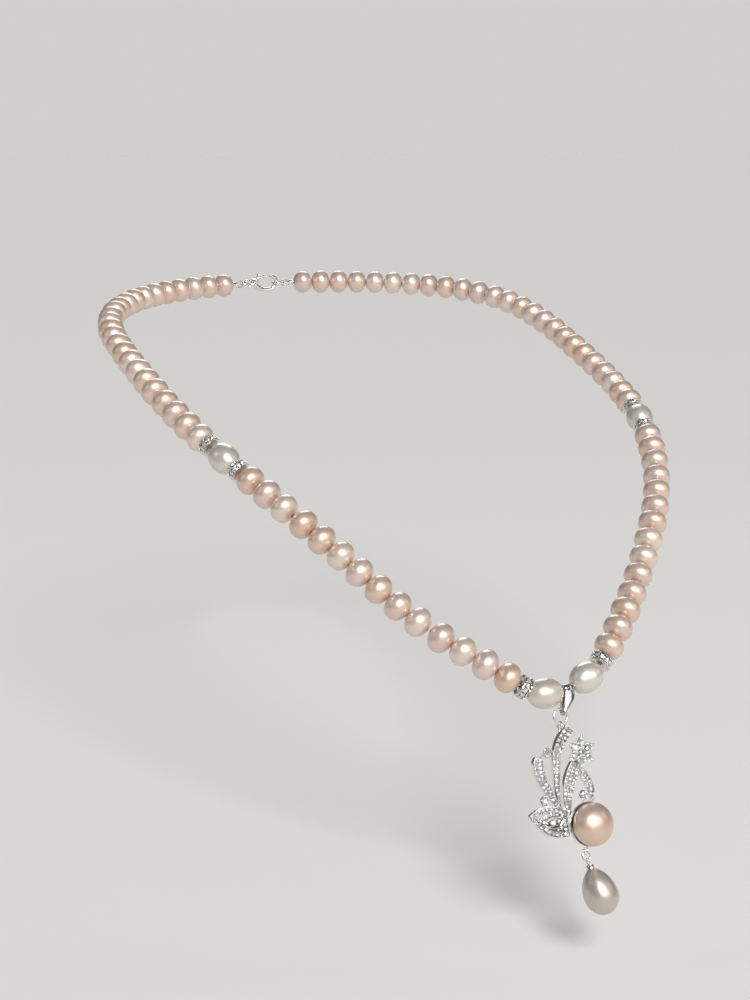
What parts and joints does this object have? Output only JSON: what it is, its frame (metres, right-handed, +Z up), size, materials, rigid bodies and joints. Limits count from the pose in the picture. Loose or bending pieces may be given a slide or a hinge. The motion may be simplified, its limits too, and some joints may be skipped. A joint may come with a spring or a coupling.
{
  "type": "pearl necklace",
  "caption": "Strand of peach pearls with white oval pearls and stone-set rondelles; a bail and ring carry a ribbon, flower and leaf pendant with a set pearl and a drop pearl; lobster clasp.",
  "frame": {"origin": "middle of the neck that the necklace goes round, level with the clasp at the nape", "axes": "+Z up, -Y to the chest where the pendant hangs, +X to the right of a person looking at the front"},
  "size_m": [0.1341, 0.1968, 0.1239],
  "materials": {
    "peach_pearl": "nacre, soft lustre with a pink overtone",
    "white_pearl": "nacre, soft lustre",
    "champagne_pearl": "nacre, soft lustre",
    "bright_silver": "polished, set with small clear stones",
    "stringing_wire": "fine stranded wire"
  },
  "bodies": {
    "nape_strand": {"pearls_nape_lower_left": "peach_pearl", "pearls_nape_lower_right": "peach_pearl", "pearls_nape_upper_left": "peach_pearl", "pearls_nape_upper_right": "peach_pearl", "wire_nape_left": "stringing_wire", "wire_nape_right": "stringing_wire", "crimp_left": "bright_silver", "crimp_right": "bright_silver", "clasp_claw": "bright_silver", "clasp_pin": "bright_silver"},
    "back_strand": {"pearls_back_lower_left": "peach_pearl", "pearls_back_lower_right": "peach_pearl", "pearls_back_upper_left": "peach_pearl", "pearls_back_upper_right": "peach_pearl", "wire_back_left": "stringing_wire", "wire_back_right": "stringing_wire"},
    "shoulder_strand": {"pearls_shoulder_lower_left": "peach_pearl", "pearls_shoulder_lower_right": "peach_pearl", "pearls_shoulder_upper_left": "peach_pearl", "pearls_shoulder_upper_right": "peach_pearl", "wire_shoulder_left": "stringing_wire", "wire_shoulder_right": "stringing_wire"},
    "side_strand": {"pearls_side_left": "peach_pearl", "pearls_side_right": "peach_pearl", "wire_side_left": "stringing_wire", "wire_side_right": "stringing_wire"},
    "front_strand": {"pearls_front_left": "peach_pearl", "pearls_front_right": "peach_pearl", "wire_front": "stringing_wire"},
    "oval_front_left": {"oval_front_left": "white_pearl"},
    "oval_front_right": {"oval_front_right": "white_pearl"},
    "rondelle_front_left": {"rondelle_front_left": "bright_silver"},
    "rondelle_front_right": {"rondelle_front_right": "bright_silver"},
    "rondelle_shoulder_lower_left": {"rondelle_shoulder_lower_left": "bright_silver"},
    "rondelle_shoulder_lower_right": {"rondelle_shoulder_lower_right": "bright_silver"},
    "oval_shoulder_left": {"oval_shoulder_left": "white_pearl"},
    "oval_shoulder_right": {"oval_shoulder_right": "white_pearl"},
    "rondelle_shoulder_upper_left": {"rondelle_shoulder_upper_left": "bright_silver"},
    "rondelle_shoulder_upper_right": {"rondelle_shoulder_upper_right": "bright_silver"},
    "bail": {"bail": "bright_silver"},
    "pendant_ring": {"pendant_ring": "bright_silver"},
    "pendant": {"ribbon_central": "bright_silver", "ribbon_left": "bright_silver", "ribbon_stem": "bright_silver", "ribbon_right": "bright_silver", "leaf": "bright_silver", "flower": "bright_silver", "cluster_upper": "bright_silver", "cluster_lower": "bright_silver", "cluster_right": "bright_silver", "pearl_cup": "bright_silver", "button_pearl": "peach_pearl"},
    "drop_link": {"drop_link": "bright_silver"},
    "drop": {"drop_cap": "bright_silver", "drop_pearl": "champagne_pearl"},
    "clasp_lever": {"clasp_lever": "bright_silver"},
    "clasp_tail_ring": {"clasp_tail_ring": "bright_silver"},
    "clasp_catch_ring": {"clasp_catch_ring": "bright_silver"}
  },
  "joints": [
    {"name": "fold_back", "type": "hinge", "parent": "nape_strand", "child": "back_strand", "pos_m": [-0.00015, 0.03735, -0.00308], "axis": [-1, -0.0064, -0.0023], "range_deg": [0, 25]},
    {"name": "fold_shoulder", "type": "hinge", "parent": "back_strand", "child": "shoulder_strand", "pos_m": [-0.00001, -0.01615, -0.0186], "axis": [-0.9999, -0.0095, 0.0119], "range_deg": [0, 25]},
    {"name": "fold_side", "type": "hinge", "parent": "shoulder_strand", "child": "side_strand", "pos_m": [0.00066, -0.06242, -0.03875], "axis": [-0.9998, 0.0051, -0.0166], "range_deg": [0, 25]},
    {"name": "fold_front", "type": "hinge", "parent": "side_strand", "child": "front_strand", "pos_m": [-0.00019, -0.08718, -0.06028], "axis": [-0.9975, 0.0131, -0.0696], "range_deg": [0, 25]},
    {"name": "spin_oval_front_left", "type": "hinge", "parent": "front_strand", "child": "oval_front_left", "pos_m": [-0.00532, -0.10001, -0.07581], "axis": [0.9969, -0.0557, -0.056], "continuous": true},
    {"name": "spin_oval_front_right", "type": "hinge", "parent": "front_strand", "child": "oval_front_right", "pos_m": [0.00526, -0.10002, -0.07379], "axis": [0.9349, 0.0621, 0.3495], "continuous": true},
    {"name": "spin_rondelle_front_left", "type": "hinge", "parent": "front_strand", "child": "rondelle_front_left", "pos_m": [-0.01028, -0.09909, -0.07392], "axis": [0.8123, -0.2617, -0.5212], "continuous": true},
    {"name": "spin_rondelle_front_right", "type": "hinge", "parent": "front_strand", "child": "rondelle_front_right", "pos_m": [0.00976, -0.09901, -0.07095], "axis": [0.7349, 0.2819, 0.6168], "continuous": true},
    {"name": "spin_rondelle_shoulder_lower_left", "type": "hinge", "parent": "shoulder_strand", "child": "rondelle_shoulder_lower_left", "pos_m": [-0.05491, -0.04766, -0.03122], "axis": [0.3506, -0.8342, -0.4257], "continuous": true},
    {"name": "spin_rondelle_shoulder_lower_right", "type": "hinge", "parent": "shoulder_strand", "child": "rondelle_shoulder_lower_right", "pos_m": [0.05596, -0.04761, -0.03041], "axis": [0.3318, 0.8771, 0.3474], "continuous": true},
    {"name": "spin_oval_shoulder_left", "type": "hinge", "parent": "shoulder_strand", "child": "oval_shoulder_left", "pos_m": [-0.05675, -0.04305, -0.02893], "axis": [0.32, -0.8536, -0.411], "continuous": true},
    {"name": "spin_oval_shoulder_right", "type": "hinge", "parent": "shoulder_strand", "child": "oval_shoulder_right", "pos_m": [0.05768, -0.04275, -0.0286], "axis": [0.299, 0.8993, 0.3191], "continuous": true},
    {"name": "spin_rondelle_shoulder_upper_left", "type": "hinge", "parent": "shoulder_strand", "child": "rondelle_shoulder_upper_left", "pos_m": [-0.0584, -0.03834, -0.02673], "axis": [0.2846, -0.8721, -0.3981], "continuous": true},
    {"name": "spin_rondelle_shoulder_upper_right", "type": "hinge", "parent": "shoulder_strand", "child": "rondelle_shoulder_upper_right", "pos_m": [0.05921, -0.0378, -0.0269], "axis": [0.2599, 0.9162, 0.305], "continuous": true},
    {"name": "bail_swing", "type": "hinge", "parent": "front_strand", "child": "bail", "pos_m": [0.0001, -0.10026, -0.07567], "axis": [-1, 0, 0], "range_deg": [0, 60]},
    {"name": "ring_sway", "type": "hinge", "parent": "bail", "child": "pendant_ring", "pos_m": [-0.00195, -0.10251, -0.07952], "axis": [0, -0.9397, 0.342], "range_deg": [-20, 20]},
    {"name": "pendant_lift", "type": "hinge", "parent": "pendant_ring", "child": "pendant", "pos_m": [-0.00359, -0.10344, -0.08208], "axis": [-0.9539, 0.1026, 0.2819], "range_deg": [0, 50]},
    {"name": "link_sway", "type": "hinge", "parent": "pendant", "child": "drop_link", "pos_m": [-0.00285, -0.11354, -0.10777], "axis": [0, -0.9397, 0.342], "range_deg": [-30, 15]},
    {"name": "drop_swing", "type": "hinge", "parent": "drop_link", "child": "drop", "pos_m": [-0.00285, -0.11419, -0.10956], "axis": [-0.9816, -0.0653, -0.1793], "range_deg": [0, 60]},
    {"name": "clasp_lever_press", "type": "hinge", "parent": "nape_strand", "child": "clasp_lever", "pos_m": [-0.00249, 0.0735, 0.00145], "axis": [0, 1, 0], "range_deg": [0, 20], "stiffness_Nm_per_rad": 0.002, "springref_deg": -11.46},
    {"name": "tail_ring_roll", "type": "hinge", "parent": "nape_strand", "child": "clasp_tail_ring", "pos_m": [-0.00613, 0.07331, 0.0005], "axis": [0.9853, 0.171, 0], "range_deg": [-12, 12]},
    {"name": "catch_ring_roll", "type": "hinge", "parent": "nape_strand", "child": "clasp_catch_ring", "pos_m": [0.0048, 0.07336, 0.00048], "axis": [-0.9961, 0.0881, 0.0091], "range_deg": [-12, 12]}
  ]
}
